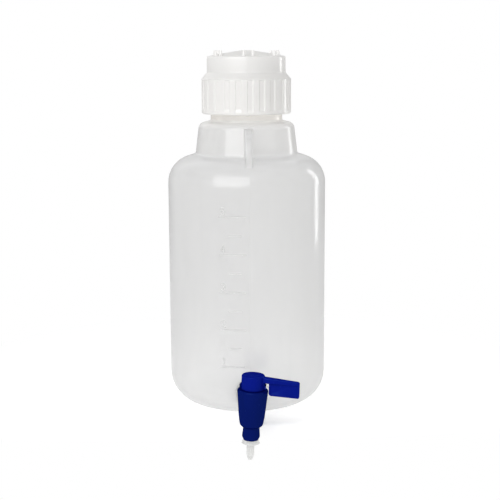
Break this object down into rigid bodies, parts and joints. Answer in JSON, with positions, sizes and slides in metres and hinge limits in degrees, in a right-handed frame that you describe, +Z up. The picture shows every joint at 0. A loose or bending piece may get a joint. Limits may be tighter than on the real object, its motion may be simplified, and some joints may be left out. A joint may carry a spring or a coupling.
{
  "type": "aspirator bottle",
  "caption": "Translucent round bottle with a ribbed screw cap and a lever tap at its foot, for dispensing liquids from a bench edge.",
  "frame": {"origin": "centre of the base ring, on the surface that the bottle stands on", "axes": "+Z up along the bottle, the tap points to -Y, the closed lever to +X"},
  "size_m": [0.178, 0.2374, 0.4299],
  "materials": {
    "clear_polypropylene": "milky translucent blow-moulded polypropylene",
    "white_polypropylene": "satin moulded plastic",
    "liner_foam": "soft closed-cell foam",
    "blue_polypropylene": "semi-gloss moulded plastic",
    "milky_polyethylene": "milky translucent polyethylene",
    "seal_rubber": "moulded rubber"
  },
  "bodies": {
    "bottle": {"bottle": "clear_polypropylene", "tap_body": "blue_polypropylene", "nozzle": "milky_polyethylene", "outer_gasket": "seal_rubber", "inner_gasket": "seal_rubber", "lock_nut": "blue_polypropylene"},
    "key": {"tap_key": "blue_polypropylene", "key_upper_o_ring": "seal_rubber", "key_lower_o_ring": "seal_rubber"},
    "liner": {"cap_liner": "liner_foam"},
    "cap": {"screw_cap": "white_polypropylene"}
  },
  "joints": [
    {"name": "tap_turn", "type": "hinge", "parent": "bottle", "child": "key", "pos_m": [0, -0.132, 0.029], "axis": [0.0419, 0, 0.9991], "range_deg": [-164, 16]},
    {"name": "cap_lift", "type": "slide", "parent": "bottle", "child": "liner", "axis": [0, 0, 1], "range_m": [0, 0.01]},
    {"name": "cap_turn", "type": "hinge", "parent": "liner", "child": "cap", "pos_m": [0, 0, 0.366], "axis": [0, 0, 1], "range_deg": [0, 450]}
  ],
  "couplings": [
    {"joint": "cap_lift", "follows": "cap_turn", "m_per_rad": 0.0012732}
  ]
}
